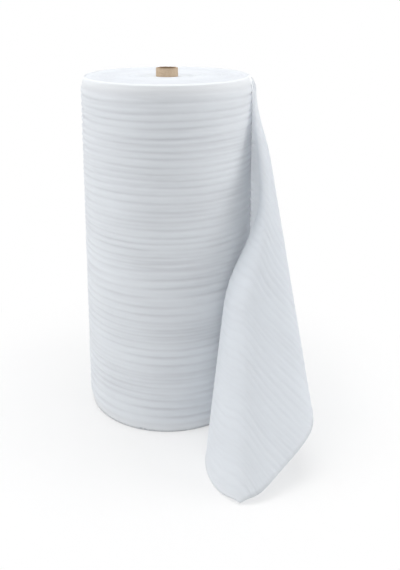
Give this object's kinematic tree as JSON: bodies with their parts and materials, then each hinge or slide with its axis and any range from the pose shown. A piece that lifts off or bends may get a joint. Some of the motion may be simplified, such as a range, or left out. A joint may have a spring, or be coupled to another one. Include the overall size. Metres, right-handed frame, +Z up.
{
  "type": "foam wrap roll",
  "caption": "Standing roll of ribbed white foam wrap wound on a cardboard core, with its outer end hanging loose beside it.",
  "frame": {"origin": "on the core's axis, on the floor under the roll", "axes": "+Z up along the core; the loose end leaves the roll on the +X side and falls toward -Y"},
  "size_m": [0.6608, 0.7917, 1.02],
  "materials": {
    "foam": "soft, slightly translucent ribbed foam",
    "core_board": "plain kraft board, spiral wound"
  },
  "bodies": {
    "root": {"foam_web": "foam", "cardboard_core": "core_board"}
  },
  "joints": []
}
